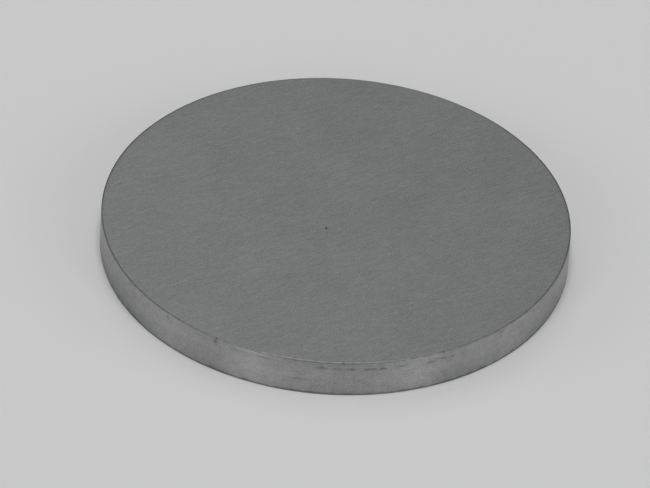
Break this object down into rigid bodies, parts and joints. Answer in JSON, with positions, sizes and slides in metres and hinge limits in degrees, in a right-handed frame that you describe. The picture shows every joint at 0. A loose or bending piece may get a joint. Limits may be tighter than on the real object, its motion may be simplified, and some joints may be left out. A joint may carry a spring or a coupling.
{
  "type": "sputtering target",
  "caption": "Flat round sputtering target disc with ground faces, a turned edge, a rounded front rim and a small bevel round the back rim.",
  "frame": {"origin": "centre of the back face, the flat face that lies on the cooled plate", "axes": "+Z along the disc's axis, out of the front face that is sputtered; X and Y lie in the back face"},
  "size_m": [0.0762, 0.0762, 0.0065],
  "materials": {
    "chromium_titanium": "ground faces and a turned edge, dull grey sintered metal"
  },
  "bodies": {
    "root": {"target_disc": "chromium_titanium"}
  },
  "joints": []
}
